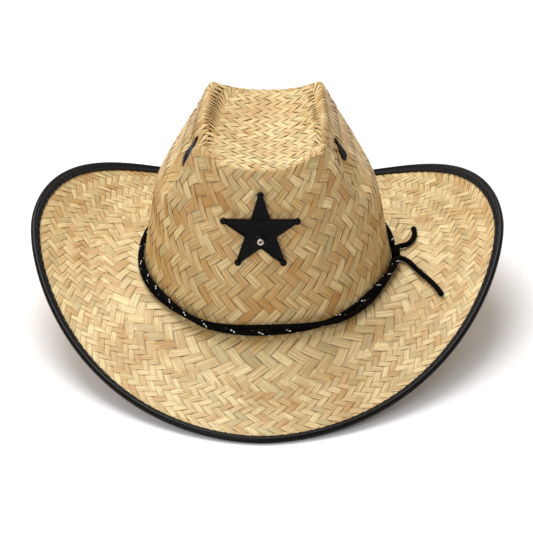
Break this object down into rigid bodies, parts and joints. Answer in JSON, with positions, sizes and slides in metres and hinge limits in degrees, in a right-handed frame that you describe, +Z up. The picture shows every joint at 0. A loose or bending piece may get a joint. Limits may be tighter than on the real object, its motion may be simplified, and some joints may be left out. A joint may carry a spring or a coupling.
{
  "type": "cowboy hat",
  "caption": "Plaited palm western hat with a pinched crown, wired and bound curled brim, twisted cord hatband with a knot, drop-shaped vent trims and a star held by one rivet.",
  "frame": {"origin": "middle of the hat's plan, on the surface that it stands on", "axes": "+Z up, -Y towards the front with the star, +X towards the wearer's left, where the knot is"},
  "size_m": [0.3388, 0.3686, 0.1585],
  "materials": {
    "palm": "matte",
    "binding_vinyl": "satin",
    "wire_steel": "satin",
    "black_thread": "matte",
    "sweatband_cloth": "matte",
    "cream_thread": "matte",
    "vent_vinyl": "satin",
    "star_plastic": "gloss",
    "rivet_metal": "satin",
    "plain_yarn": "matte",
    "flecked_yarn": "matte"
  },
  "bodies": {
    "hat": {"crown": "palm", "brim": "palm", "brim_binding": "binding_vinyl", "brim_wire": "wire_steel", "wire_sleeve": "wire_steel", "binding_stitches": "black_thread", "sweatband": "sweatband_cloth", "sweatband_stitches": "cream_thread", "vent_trim_left": "vent_vinyl", "vent_trim_right": "vent_vinyl", "star_rivet": "rivet_metal", "rivet_washer": "rivet_metal"},
    "star": {"star_badge": "star_plastic"},
    "hatband": {"hatband_cord_plain": "plain_yarn", "hatband_cord_flecked": "flecked_yarn", "hatband_knot": "plain_yarn", "cord_end_upper": "plain_yarn", "cord_end_lower": "plain_yarn"}
  },
  "joints": [
    {"name": "star_swivel", "type": "hinge", "parent": "hat", "child": "star", "pos_m": [-0.0013, -0.0872, 0.10205], "axis": [0, -0.9777, 0.2102], "continuous": true},
    {"name": "hatband_lift", "type": "slide", "parent": "hat", "child": "hatband", "axis": [0, 0, 1], "range_m": [0, 0.13]}
  ]
}
